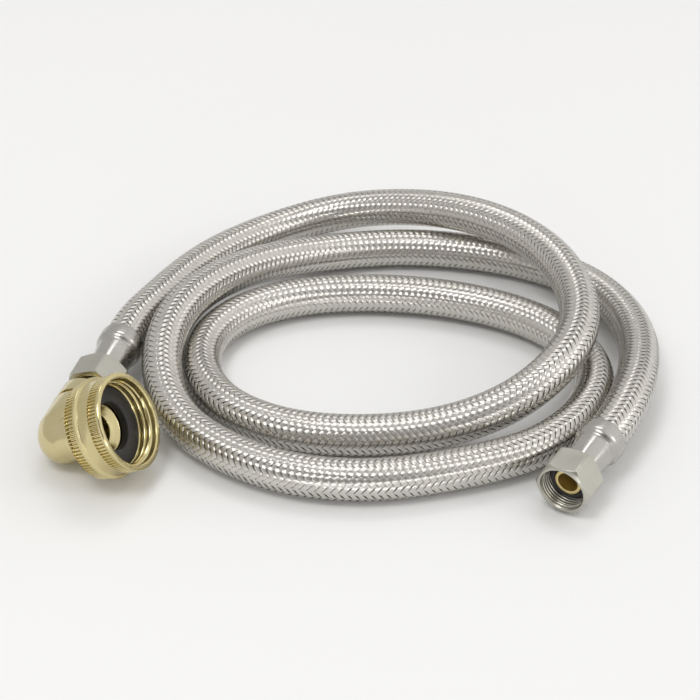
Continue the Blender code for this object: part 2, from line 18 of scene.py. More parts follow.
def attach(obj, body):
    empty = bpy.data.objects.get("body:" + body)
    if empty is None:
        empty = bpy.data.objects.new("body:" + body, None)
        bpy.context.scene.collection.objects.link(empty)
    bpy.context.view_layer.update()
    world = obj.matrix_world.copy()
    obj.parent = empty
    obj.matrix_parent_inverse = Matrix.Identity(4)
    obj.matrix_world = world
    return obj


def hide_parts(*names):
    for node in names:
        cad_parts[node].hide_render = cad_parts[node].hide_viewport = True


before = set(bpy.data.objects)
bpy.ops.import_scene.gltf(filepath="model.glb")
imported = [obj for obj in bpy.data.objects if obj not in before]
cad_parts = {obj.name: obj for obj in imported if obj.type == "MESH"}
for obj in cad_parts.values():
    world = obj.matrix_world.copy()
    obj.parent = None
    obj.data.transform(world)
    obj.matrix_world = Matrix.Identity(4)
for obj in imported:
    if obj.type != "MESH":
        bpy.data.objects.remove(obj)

MM = 0.001
UP = Vector((0.0, 0.0, 1.0))
# The length of one wave of a wave texture whose scale is 1.
WAVE = math.pi / 10
# Points of a lathed piece that are closer than this are one point.
MERGE = 0.000002
Piece = bpy.types.Object
Tree = bpy.types.NodeTree
Socket = bpy.types.NodeSocket
Pair = tuple[float, float]
Triple = tuple[float, float, float]
Outline = list[Pair]
log = logging.getLogger("supply hose")


class Body(Enum):
    """The bodies that the pieces ride on."""

    HOSE = "hose"
    TAP_NUT = "tap_nut"
    VALVE_NUT = "valve_nut"


class Hand(Enum):
    """Which way a set of braid carriers winds round the hose."""

    RIGHT = 1
    LEFT = -1


class Grain(Enum):
    """The fine relief that a way of making leaves on a surface."""

    TURNED = "turned"
    DRAWN = "drawn"
    ROLLED = "rolled"
    WOVEN = "woven"
    MOULDED = "moulded"


@dataclass(frozen=True)
class Place:
    """An axis that a piece is made on: its start, its direction and a turn about it."""

    origin: Vector
    direction: Vector
    turn: float = 0.0

    @property
    def matrix(self) -> Matrix:
        """Give the matrix whose +Z runs along the axis.

        Returns:
            The matrix, in metres.
        """
        z_axis = self.direction.normalized()
        level = Vector((0.0, 1.0, 0.0)) if abs(z_axis.z) > 0.999 else UP
        x_axis = level.cross(z_axis).normalized()
        y_axis = z_axis.cross(x_axis)
        turned_x = x_axis * math.cos(self.turn) + y_axis * math.sin(self.turn)
        turned_y = z_axis.cross(turned_x)
        turned = Matrix((turned_x, turned_y, z_axis)).transposed().to_4x4()
        return Matrix.Translation(self.origin) @ turned

    def turned(self, degrees: float) -> "Place":
        """Give the same axis with another turn about it."""
        return Place(self.origin, self.direction, math.radians(degrees))


UPRIGHT = Place(Vector(), UP)


def heading(azimuth: float, rise: float) -> Vector:
    """Give the unit vector of two angles in degrees.

    Args:
        azimuth: the bearing from +X towards +Y.
        rise: the slope above the floor.

    Returns:
        The unit vector.
    """
    flat = math.cos(math.radians(rise))
    bearing = math.radians(azimuth)
    return Vector((flat * math.cos(bearing), flat * math.sin(bearing), math.sin(math.radians(rise))))


def linear(shade: str) -> tuple[float, float, float, float]:
    """Turn an sRGB hex colour into linear numbers.

    Args:
        shade: the colour as "#rrggbb".

    Returns:
        Linear red, green and blue, and an alpha of one.
    """
    parts = [int(shade[start:start + 2], 16) / 255 for start in (1, 3, 5)]
    red, green, blue = (p / 12.92 if p <= 0.04045 else ((p + 0.055) / 1.055) ** 2.4 for p in parts)
    return red, green, blue, 1.0


def add_node(tree: Tree, kind: str, settings: dict, links: dict) -> bpy.types.Node:
    """Add a shader node with its settings and links.

    Args:
        tree: the node tree of the material.
        kind: the type of the node, without the words ShaderNode that it starts with.
        settings: values by the name of a property, or by the name or number of an input.
        links: output sockets by the name or number of the input that each goes to.

    Returns:
        The new node.
    """
    node = tree.nodes.new("ShaderNode" + kind)
    for key, value in settings.items():
        if key in node.bl_rna.properties.keys():
            setattr(node, key, value)
        else:
            node.inputs[key].default_value = value
    for key, socket in links.items():
        tree.links.new(socket, node.inputs[key])
    return node


@dataclass(frozen=True)
class Finish:
    """One real finish, with two tones, a range of roughness and a grain.  Sizes are in millimetres."""

    name: str
    slot: str
    light: str
    dark: str
    metallic: float
    roughness: Pair
    grain: Grain
    grain_mm: float
    depth_mm: float
    cloud_mm: float = 7.0

    def material(self, place: Place) -> bpy.types.Material:
        """Make the material, with its grain lined up on a piece's axis.

        Args:
            place: the axis of the piece that wears it.

        Returns:
            The material.
        """
        made = bpy.data.materials.new(self.name)
        made.use_nodes = True
        tree = made.node_tree
        shader = tree.nodes["Principled BSDF"]
        shader.inputs["Metallic"].default_value = self.metallic
        local = self.local(tree, place)
        clouds = add_node(tree, "TexNoise",
                          {"Scale": 1 / (self.cloud_mm * MM), "Detail": 4.0, "Roughness": 0.6},
                          {"Vector": local})
        tone = add_node(tree, "Mix",
                        {"data_type": "RGBA", 6: linear(self.light), 7: linear(self.dark)},
                        {0: clouds.outputs[0]})
        tree.links.new(tone.outputs[2], shader.inputs["Base Color"])
        smears = add_node(tree, "TexNoise",
                          {"Scale": 1 / (self.cloud_mm * 0.4 * MM), "Detail": 2.0}, {"Vector": local})
        gloss = add_node(tree, "MapRange",
                         {"From Min": 0.3, "From Max": 0.7,
                          "To Min": self.roughness[0], "To Max": self.roughness[1]},
                         {"Value": smears.outputs[0]})
        tree.links.new(gloss.outputs[0], shader.inputs["Roughness"])
        relief = add_node(tree, "Bump",
                          {"Strength": 1.0, "Distance": self.depth_mm * MM},
                          {"Height": self.height(tree, local)})
        tree.links.new(relief.outputs[0], shader.inputs["Normal"])
        return made

    def local(self, tree: Tree, place: Place) -> Socket:
        """Turn Object coordinates so that +Z runs along the piece's axis.

        Args:
            tree: the node tree of the material.
            place: the axis of the piece.

        Returns:
            The socket that holds the coordinates.
        """
        coordinates = add_node(tree, "TexCoord", {}, {})
        mapping = add_node(tree, "Mapping",
                           {"vector_type": "TEXTURE", "Location": place.matrix.to_translation(),
                            "Rotation": place.matrix.to_euler()},
                           {"Vector": coordinates.outputs["Object"]})
        return mapping.outputs[0]

    def height(self, tree: Tree, local: Socket) -> Socket:
        """Draw the grain's relief.

        Args:
            tree: the node tree of the material.
            local: the piece's own coordinates, in metres.

        Returns:
            The socket that holds the height.
        """
        pitch = self.grain_mm * MM
        if self.grain is Grain.WOVEN:
            weave = add_node(tree, "UVMap", {"uv_map": "weave"}, {})
            wires = add_node(tree, "TexWave",
                             {"bands_direction": "X", "Scale": WAVE * BraidedHose.WIRES},
                             {"Vector": weave.outputs[0]})
            return wires.outputs["Fac"]
        if self.grain is Grain.TURNED:
            marks = {"Scale": WAVE / pitch, "Distortion": 0.6, "Detail": 1.0, "Detail Scale": 0.3}
            rings = add_node(tree, "TexWave",
                             {"wave_type": "RINGS", "rings_direction": "Z"} | marks, {"Vector": local})
            feed = add_node(tree, "TexWave", {"bands_direction": "Z"} | marks, {"Vector": local})
            both = add_node(tree, "Math", {"operation": "ADD"},
                            {0: rings.outputs["Fac"], 1: feed.outputs["Fac"]})
            return both.outputs[0]
        along = {Grain.DRAWN: 0.04, Grain.ROLLED: 0.1}.get(self.grain, 1.0)
        lined = add_node(tree, "Mapping", {"Scale": Vector((1.0, 1.0, along))}, {"Vector": local})
        grit = add_node(tree, "TexNoise", {"Scale": 1 / pitch, "Detail": 3.0, "Roughness": 0.6},
                        {"Vector": lined.outputs[0]})
        return grit.outputs[0]


# Flat bright stainless wire: mirror-like floats that turn dark where they dip under the next ones.
BRAID_WIRE = Finish("drawn stainless braid wire", "steel_braid", "#dddad4", "#c2bfb9", 1.0,
                    (0.11, 0.20), Grain.WOVEN, 0.22, 0.02, cloud_mm=3.0)
# The rubber liner is seen only as dark specks between the wires.
LINER_RUBBER = Finish("extruded liner rubber", "black_rubber", "#2a2826", "#1c1b1a", 0.0,
                      (0.6, 0.75), Grain.MOULDED, 0.5, 0.02)
# Rolled sheet, crimped cold: bright, with faint lines along the pull and soft smears.
FERRULE_STEEL = Finish("rolled stainless sheet", "bright_steel", "#c2c0bb", "#adaba6", 1.0,
                       (0.22, 0.32), Grain.ROLLED, 0.35, 0.006)
# Nickel plate over drawn hexagon bar: a greyer, softer shine, and fine lines along the flats.
SATIN_NICKEL = Finish("satin nickel plate", "satin_nickel", "#c4c2b9", "#b2b0a6", 1.0,
                      (0.27, 0.36), Grain.DRAWN, 0.3, 0.006)
# Brass from the lathe: pale yellow, bright, with the tool's feed marks half a millimetre apart.
TURNED_BRASS = Finish("turned brass", "brass", "#dacea3", "#c8ba85", 1.0,
                      (0.16, 0.26), Grain.TURNED, 0.5, 0.003, cloud_mm=9.0)
# Drawn brass tube: as yellow, but duller, so that its bore stays lit.
DRAWN_BRASS = Finish("drawn brass tube", "brass", "#ead9a2", "#d8c587", 1.0,
                     (0.34, 0.44), Grain.DRAWN, 0.3, 0.004)
# Forged brass that was tumbled bright: the same yellow, with broad soft reflections and no lines.
FORGED_BRASS = Finish("tumbled forged brass", "brass", "#dbcfa6", "#c9bc8c", 1.0,
                      (0.13, 0.21), Grain.MOULDED, 1.2, 0.006, cloud_mm=9.0)
# Moulded rubber: near black with a low dull sheen and a fine sanded skin.
WASHER_RUBBER = Finish("moulded black rubber", "black_rubber", "#2e2c2e", "#232224", 0.0,
                       (0.45, 0.6), Grain.MOULDED, 0.25, 0.02, cloud_mm=4.0)


def deselect() -> None:
    """Leave Edit Mode with nothing selected."""
    if bpy.context.mode != "OBJECT":
        bpy.ops.object.mode_set(mode="OBJECT")
    bpy.ops.object.select_all(action="DESELECT")


def activate(obj: Piece) -> None:
    """Select one object only and make it active.

    Args:
        obj: the object.
    """
    deselect()
    obj.select_set(True)
    bpy.context.view_layer.objects.active = obj


def close_up(obj: Piece, fill: bool = True) -> None:
    """Cap a piece's open ends and point its faces outwards.

    Args:
        obj: the piece.
        fill: whether it has ends to cap.
    """
    activate(obj)
    bpy.ops.object.mode_set(mode="EDIT")
    bpy.ops.mesh.select_all(action="SELECT")
    if fill:
        bpy.ops.mesh.fill_holes(sides=0)
        bpy.ops.mesh.select_all(action="SELECT")
    bpy.ops.mesh.normals_make_consistent(inside=False)
    bpy.ops.object.mode_set(mode="OBJECT")


def rounded(outline: Outline, radius: float, steps: int = 3) -> Outline:
    """Round the corners of a closed outline.

    Args:
        outline: (radius, height) corners in order.
        radius: how far from a corner the rounding starts.
        steps: how many points stand for a corner.

    Returns:
        The outline with points round each corner.
    """
    points: Outline = []
    count = len(outline)
    edge_share, flat_cosine = 0.4, -0.97
    for index, corner in enumerate(outline):
        here = np.array(corner)
        before = np.array(outline[index - 1]) - here
        after = np.array(outline[(index + 1) % count]) - here
        reach_in, reach_out = np.linalg.norm(before), np.linalg.norm(after)
        straight = float(before @ after) / (reach_in * reach_out)
        if straight < flat_cosine:
            points.append(corner)
            continue
        start = here + before / reach_in * min(radius, edge_share * reach_in)
        end = here + after / reach_out * min(radius, edge_share * reach_out)
        for step in range(steps):
            t = step / (steps - 1)
            spot = start * (1 - t) ** 2 + here * 2 * t * (1 - t) + end * t ** 2
            points.append((float(spot[0]), float(spot[1])))
    return points


def lathe(name: str, outline: Outline, segments: int = 96, ring: bool = True) -> Piece:
    """Turn an outline about +Z, drawing out one circle of edges at a time.

    Args:
        name: the piece's name.
        outline: (radius, height) points in millimetres, with the outer side run from the top down.
        segments: facets round the piece.
        ring: whether the outline closes on itself; if not, its two ends are capped.

    Returns:
        The closed piece, standing at the origin.
    """
    deselect()
    radius, height = outline[0]
    bpy.ops.mesh.primitive_circle_add(vertices=segments, radius=radius * MM)
    obj = bpy.context.object
    obj.name = obj.data.name = name
    bpy.ops.object.mode_set(mode="EDIT")
    bpy.ops.mesh.select_all(action="SELECT")
    bpy.ops.transform.translate(value=(0.0, 0.0, height * MM))
    for next_radius, next_height in outline[1:] + (outline[:1] if ring else []):
        climb = (next_height - height) * MM
        bpy.ops.mesh.extrude_edges_move(TRANSFORM_OT_translate={"value": (0.0, 0.0, climb)})
        widen = next_radius / radius
        bpy.ops.transform.resize(value=(widen, widen, 1.0), center_override=(0.0, 0.0, 0.0))
        radius, height = next_radius, next_height
    bpy.ops.mesh.select_all(action="SELECT")
    bpy.ops.mesh.remove_doubles(threshold=MERGE)
    close_up(obj, fill=not ring)
    return obj


def reshape(obj: Piece, move: Callable[[float, float, float], float]) -> None:
    """Move the points of a piece that stands at the origin, towards its axis or away from it.

    Args:
        obj: the piece.
        move: gives a point's new radius from its radius, angle and height, in millimetres and radians.
    """
    for vertex in obj.data.vertices:
        radius = math.hypot(vertex.co.x, vertex.co.y) / MM
        angle = math.atan2(vertex.co.y, vertex.co.x)
        height = vertex.co.z / MM
        radius = move(radius, angle, height)
        vertex.co = Vector((radius * math.cos(angle), radius * math.sin(angle), height)) * MM


def flat_sided(angle: float, flats: int, across: float) -> float:
    """Give how far a many-sided bar reaches from its axis at an angle.

    Args:
        angle: the direction from the axis, with a corner at zero.
        flats: how many sides the bar has.
        across: its size across the flats.

    Returns:
        The distance from the axis to its side.
    """
    side = 2 * math.pi / flats
    off_middle = (angle % side) - side / 2
    return across / 2 / math.cos(off_middle)


def join_cut(obj: Piece, tool: Piece, operation: str) -> None:
    """Join a piece with a tool or cut it, and remove the tool.

    Args:
        obj: the piece.
        tool: the closed shape that is added or taken away.
        operation: UNION or DIFFERENCE.
    """
    modifier = obj.modifiers.new(operation.lower(), "BOOLEAN")
    modifier.operation = operation
    modifier.object = tool
    modifier.solver = "EXACT"
    activate(obj)
    bpy.ops.object.modifier_apply(modifier=modifier.name)
    bpy.data.objects.remove(tool, do_unlink=True)


def settle(obj: Piece, place: Place) -> Piece:
    """Carry a piece to its axis and leave its object at the origin, unturned.

    Args:
        obj: the piece, made about +Z.
        place: the axis that it goes to.

    Returns:
        The piece.
    """
    activate(obj)
    obj.matrix_world = place.matrix
    bpy.ops.object.transform_apply(location=True, rotation=True, scale=True)
    return obj


def dress(obj: Piece, finish: Finish, place: Place, body: Body, *nodes: str,
          crease: float = 32.0) -> Piece:
    """Give a piece its finish, shading and body, and let it stand for solids.

    Args:
        obj: the piece, in its place.
        finish: what it is made of.
        place: the axis that its grain follows.
        body: what it moves with.
        nodes: the solids that it stands for.
        crease: the angle in degrees over which an edge stays sharp.

    Returns:
        The piece.
    """
    activate(obj)
    bpy.ops.object.shade_smooth_by_angle(angle=math.radians(crease))
    obj.data.materials.clear()
    obj.data.materials.append(finish.material(place))
    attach(obj, body.value)
    if nodes:
        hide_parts(*nodes)
    log.info("%s: %d faces", obj.name, len(obj.data.polygons))
    return obj


@dataclass
class HoseRoute:
    """The way the hose lies, from inside one ferrule to inside the other, in metres and degrees."""

    elbow_centre: Vector = field(default_factory=lambda: Vector((-0.0891, -0.0574, 0.0092)))
    leg_bearing: float = 75.0
    leg_rise: float = 3.0
    tail_tilt: float = 28.0
    leg_to_lip: float = 0.0518
    free_mouth: Vector = field(default_factory=lambda: Vector((0.0592, -0.0821, 0.0093)))
    back_bearing: float = 57.7
    back_rise: float = 4.0
    mouth_to_lip: float = 0.0279
    reach_in: float = 0.0053
    straight: float = 0.007
    curve_steps: int = 9000
    points: tuple[Triple, ...] = (
        (-0.0667, 0.0175, 0.0117), (-0.0590, 0.0355, 0.0099), (-0.0468, 0.0555, 0.0079),
        (-0.0290, 0.0720, 0.0070), (-0.0060, 0.0785, 0.0104), (0.0175, 0.0724, 0.0159),
        (0.0385, 0.0601, 0.0202), (0.0565, 0.0436, 0.0216), (0.0680, 0.0228, 0.0213),
        (0.0715, -0.0005, 0.0208), (0.0660, -0.0245, 0.0198), (0.0500, -0.0415, 0.0144),
        (0.0275, -0.0490, 0.0086), (0.0035, -0.0515, 0.0068), (-0.0210, -0.0485, 0.0068),
        (-0.0415, -0.0350, 0.0068), (-0.0505, -0.0130, 0.0068), (-0.0440, 0.0105, 0.0068),
        (-0.0245, 0.0250, 0.0068), (-0.0005, 0.0295, 0.0068), (0.0235, 0.0275, 0.0068),
        (0.0470, 0.0195, 0.0068), (0.0662, 0.0045, 0.0068), (0.0752, -0.0180, 0.0068),
        (0.0694, -0.0406, 0.0068), (0.0524, -0.0588, 0.0068), (0.0295, -0.0685, 0.0068),
        (0.0055, -0.0735, 0.0068), (-0.0185, -0.0710, 0.0068), (-0.0405, -0.0595, 0.0069),
        (-0.0565, -0.0415, 0.0084), (-0.0622, -0.0185, 0.0130), (-0.0577, 0.0055, 0.0160),
        (-0.0460, 0.0265, 0.0144), (-0.0295, 0.0440, 0.0106), (-0.0085, 0.0555, 0.0074),
        (0.0160, 0.0595, 0.0068), (0.0405, 0.0565, 0.0068), (0.0630, 0.0480, 0.0068),
        (0.0815, 0.0315, 0.0068), (0.0900, 0.0090, 0.0081), (0.0900, -0.0155, 0.0108),
        (0.0840, -0.0395, 0.0126),
    )

    @property
    def leg(self) -> Vector:
        """Give the unit vector from the elbow's middle to the hose."""
        return heading(self.leg_bearing, self.leg_rise)

    @property
    def back(self) -> Vector:
        """Give the unit vector from the free nut's mouth to the hose."""
        return heading(self.back_bearing, self.back_rise)

    @property
    def tail(self) -> Vector:
        """Give the unit vector out of the swivel nut, square to the elbow's leg.

        Returns:
            The leg's own sideways direction, turned about the leg by the tilt.
        """
        turn = (Euler((0.0, 0.0, math.radians(self.leg_bearing))).to_matrix()
                @ Euler((0.0, math.radians(-self.leg_rise), 0.0)).to_matrix()
                @ Euler((math.radians(-self.tail_tilt), 0.0, 0.0)).to_matrix())
        return turn @ Vector((0.0, -1.0, 0.0))

    @property
    def elbow_lip(self) -> Vector:
        """Give where the braid goes into the elbow end's ferrule."""
        return self.elbow_centre + self.leg * self.leg_to_lip

    @property
    def free_lip(self) -> Vector:
        """Give where the braid goes into the free end's ferrule."""
        return self.free_mouth + self.back * self.mouth_to_lip

    def knots(self) -> np.ndarray:
        """Give the points that the hose runs through, its two straight ends among them.

        Returns:
            The points, one row each.
        """
        leg, back = self.leg, self.back
        start = [self.elbow_lip - leg * self.reach_in, self.elbow_lip,
                 self.elbow_lip + leg * self.straight]
        end = [self.free_lip + back * self.straight, self.free_lip,
               self.free_lip - back * self.reach_in]
        return np.array([tuple(point) for point in start + list(self.points) + end])

    def line(self, count: int) -> np.ndarray:
        """Read evenly spaced points from the smooth curve through the knots.

        Args:
            count: how many points.

        Returns:
            The points, one row each.
        """
        knots = self.knots()
        chords = np.linalg.norm(np.diff(knots, axis=0), axis=1)
        at = np.concatenate(([0.0], np.cumsum(chords)))
        size = len(knots)
        system = np.zeros((size, size))
        right = np.zeros((size, 3))
        system[0, 0] = system[-1, -1] = 1.0
        for row in range(1, size - 1):
            before, after = chords[row - 1], chords[row]
            system[row, row - 1:row + 2] = before, 2.0 * (before + after), after
            right[row] = 6.0 * ((knots[row + 1] - knots[row]) / after
                                - (knots[row] - knots[row - 1]) / before)
        bend = np.linalg.solve(system, right)
        dense = np.linspace(0.0, at[-1], self.curve_steps)
        piece = np.clip(np.searchsorted(at, dense, side="right") - 1, 0, size - 2)
        span = chords[piece][:, None]
        past = (dense - at[piece])[:, None]
        left = span - past
        curve = (bend[piece] * left ** 3 / (6.0 * span) + bend[piece + 1] * past ** 3 / (6.0 * span)
                 + (knots[piece] / span - bend[piece] * span / 6.0) * left
                 + (knots[piece + 1] / span - bend[piece + 1] * span / 6.0) * past)
        run = np.concatenate(([0.0], np.cumsum(np.linalg.norm(np.diff(curve, axis=0), axis=1))))
        stations = np.linspace(0.0, run[-1], count)
        return np.stack([np.interp(stations, run, curve[:, k]) for k in range(3)], axis=1)

    def axes(self, line: np.ndarray) -> tuple[np.ndarray, np.ndarray, np.ndarray]:
        """Carry a pair of side axes along the line without twisting them.

        Args:
            line: points along the hose.

        Returns:
            The unit vectors along, and the two across, at each point.
        """
        ahead = np.gradient(line, axis=0)
        ahead /= np.linalg.norm(ahead, axis=1)[:, None]
        side = np.zeros_like(line)
        start = np.cross(ahead[0], (0.0, 0.0, 1.0))
        side[0] = start / np.linalg.norm(start)
        for index in range(1, len(line)):
            carried = side[index - 1] - ahead[index] * (side[index - 1] @ ahead[index])
            side[index] = carried / np.linalg.norm(carried)
        return ahead, side, np.cross(ahead, side)


def tube_faces(rows: int, around: int) -> np.ndarray:
    """Number the four-sided faces between rows of points that go round a tube.

    Args:
        rows: how many rows.
        around: how many points a row has.

    Returns:
        Four point numbers a face.
    """
    near = np.arange(around)
    far = (near + 1) % around
    low = np.arange(rows - 1)[:, None] * around
    corners = (low + near, low + far, low + around + far, low + around + near)
    return np.stack(corners, axis=-1).reshape(-1, 4)


def woven_mesh(name: str, points: np.ndarray, faces: np.ndarray, marks: np.ndarray) -> Piece:
    """Make an object from points and four-sided faces, with faces that point outwards.

    Args:
        name: the piece's name.
        points: the corners in metres.
        faces: four corner numbers a face.
        marks: the weave's (across, along) numbers of each corner.

    Returns:
        The object.
    """
    first, second, third, fourth = (points[faces[:, corner]] for corner in range(4))
    volume = (first * (np.cross(second, third) + np.cross(third, fourth))).sum()
    if volume < 0.0:
        faces = faces[:, ::-1]
    mesh = bpy.data.meshes.new(name)
    mesh.from_pydata(points.tolist(), [], faces.tolist())
    layer = mesh.uv_layers.new(name="weave")
    layer.data.foreach_set("uv", marks[faces.ravel()].astype(np.float32).ravel())
    mesh.validate()
    obj = bpy.data.objects.new(name, mesh)
    bpy.context.scene.collection.objects.link(obj)
    return obj


@dataclass
class BraidedHose:
    """The rubber liner and the steel braid on it, woven two over and two under."""

    WIRES = 6
    FLAT_SHARE = 0.7
    WAVE_LIMITS = (-1.15, 1.3)
    route: HoseRoute
    outside: float = 13.0
    liner_radius: float = 5.93
    liner_sides: int = 32
    carriers: int = 14
    lay: float = 29.7
    ribbon_width: float = 1.50
    ribbon_crown: float = 0.07
    weave_radius: float = 6.21
    weave_swing: float = 0.155
    length_steps: int = 4000
    path: list[Vector] = field(default_factory=list)

    def build(self) -> list[Piece]:
        """Make the liner and the braid over it.

        Returns:
            The liner, which stands for the whole hose, and the four parts of the braid.
        """
        rough = self.route.line(self.length_steps)
        length = float(np.linalg.norm(np.diff(rough, axis=0), axis=1).sum()) / MM
        crossings = round(length / (self.lay / (2 * self.carriers)))
        line = self.route.line(2 * crossings + 1)
        liner = self.liner(line)
        half = self.carriers // 2
        braid = [self.ribbons(line, hand, part * half, half)
                 for hand in Hand for part in range(2)]
        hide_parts("inner_tube", "braided_sleeve")
        return [liner] + braid

    def liner(self, line: np.ndarray) -> Piece:
        """Sweep the liner as a closed tube, and keep its centreline as the hose's path.

        Args:
            line: points along the hose.

        Returns:
            The liner.
        """
        centres = line[::4]
        if (len(line) - 1) % 4:
            centres = np.concatenate((centres, line[-1:]))
        ahead, side, up = self.route.axes(centres)
        sides = self.liner_sides
        angles = np.linspace(0.0, 2 * math.pi, sides, endpoint=False)
        ring = (np.cos(angles)[None, :, None] * side[:, None, :]
                + np.sin(angles)[None, :, None] * up[:, None, :])
        points = (centres[:, None, :] + ring * self.liner_radius * MM).reshape(-1, 3)
        rows = len(centres)
        marks = np.stack((np.tile(angles, rows), np.repeat(np.arange(rows), sides)), axis=1)
        obj = woven_mesh("rubber_liner", points, tube_faces(rows, sides), marks)
        close_up(obj)
        self.path = [Vector(centre) for centre in centres]
        return dress(obj, LINER_RUBBER, UPRIGHT, Body.HOSE, crease=50.0)

    def ribbons(self, line: np.ndarray, hand: Hand, first: int, count: int) -> Piece:
        """Weave some of the braid's flat ribbons, which pass over two and under two.

        Args:
            line: points along the hose, four to a carrier's step.
            hand: which way the ribbons wind.
            first: the number of the first carrier.
            count: how many carriers.

        Returns:
            The ribbons as one piece.
        """
        ahead, side, up = self.route.axes(line)
        steps = np.arange(len(line))
        way = hand.value
        slant = math.atan2(2 * math.pi * self.weave_radius, self.lay)
        half_width = self.ribbon_width / 2
        across = np.array((-1.0, -self.FLAT_SHARE, self.FLAT_SHARE, 1.0)) * half_width
        crown = np.array((0.0, self.ribbon_crown, self.ribbon_crown, 0.0))
        all_points, all_faces, all_marks = [], [], []
        for carrier in range(first, first + count):
            angle = 2 * math.pi * carrier / self.carriers + way * math.pi * steps / (2 * self.carriers)
            column = 2 * carrier + way * steps / 2
            middle = 0.5 if hand is Hand.RIGHT else 2.5
            wave = math.sqrt(2) * np.cos(math.pi / 2 * (column - middle))
            radius = self.weave_radius + self.weave_swing * np.clip(wave, *self.WAVE_LIMITS)
            out = np.cos(angle)[:, None] * side + np.sin(angle)[:, None] * up
            around = -np.sin(angle)[:, None] * side + np.cos(angle)[:, None] * up
            wide = math.cos(slant) * around - way * math.sin(slant) * ahead
            lift = radius[:, None] + crown[None, :]
            points = (line[:, None, :] + out[:, None, :] * lift[:, :, None] * MM
                      + wide[:, None, :] * across[None, :, None] * MM)
            base = len(all_points) * points.shape[0] * 4
            all_points.append(points.reshape(-1, 3))
            last = (len(line) - 1) * 4
            caps = ((3, 2, 1, 0), (last, last + 1, last + 2, last + 3))
            all_faces.append(np.concatenate((tube_faces(len(line), 4), caps)) + base)
            spread = np.tile((across + half_width) / self.ribbon_width, len(line))
            all_marks.append(np.stack((spread, np.repeat(steps, 4) * 0.25), axis=1))
        name = f"braid_{hand.name.lower()}_hand_{first // count + 1}"
        obj = woven_mesh(name, np.concatenate(all_points), np.concatenate(all_faces),
                         np.concatenate(all_marks))
        return dress(obj, BRAID_WIRE, UPRIGHT, Body.HOSE, crease=60.0)


@dataclass
class Ferrule:
    """Crimped steel sleeve: a round collar over the braid and an eight-sided neck."""

    PRESSED_SHARE = 0.055
    RUN_IN_SHARE = 1 / 6
    end: str
    place: Place
    length: float = 16.4
    collar: float = 14.8
    collar_length: float = 5.6
    slope: float = 1.4
    neck_rear: float = 12.9
    neck_front: float = 11.4
    flats: int = 8
    pocket: float = 13.2
    pocket_depth: float = 5.6
    hole: float = 9.4

    def build(self) -> Piece:
        """Turn the ferrule and press its flats.

        Returns:
            The ferrule.
        """
        neck = self.collar_length + self.slope
        collar, rear, front = self.collar / 2, self.neck_rear / 2, self.neck_front / 2
        pocket, hole = self.pocket / 2, self.hole / 2
        outline = rounded([
            (hole, self.length), (front - 0.3, self.length), (front, self.length - 0.4),
            (rear, neck + 0.5), (rear - 0.05, neck + 0.2), (rear - 0.35, neck),
            (rear - 0.3, neck - 0.45), (collar - 0.35, self.collar_length + 0.1),
            (collar, self.collar_length - 0.9), (collar, 0.7), (collar - 0.3, 0.0), (pocket, 0.0),
            (pocket, self.pocket_depth), (hole, self.pocket_depth),
        ], 0.4)
        obj = lathe(f"{self.end}_crimped_ferrule", outline)
        reshape(obj, self.press)
        return dress(settle(obj, self.place), FERRULE_STEEL, self.place, Body.HOSE,
                     f"{self.end}_ferrule", crease=40.0)

    def press(self, radius: float, angle: float, height: float) -> float:
        """Flatten the neck's sides, with a run-in from the round groove.

        Args:
            radius: how far a point is from the axis.
            angle: its direction from the axis.
            height: how far along the axis it is.

        Returns:
            Its new radius.
        """
        neck = self.collar_length + self.slope + 0.4
        if radius > self.hole / 2 + 0.3 and height > neck:
            share = (height - neck) / (self.length - neck)
            corner = self.neck_rear + (self.neck_front - self.neck_rear) * share
            fade = min(1.0, share / self.RUN_IN_SHARE)
            across = corner * (1.0 - self.PRESSED_SHARE * fade)
            radius = min(radius, flat_sided(angle, self.flats, across))
        return radius


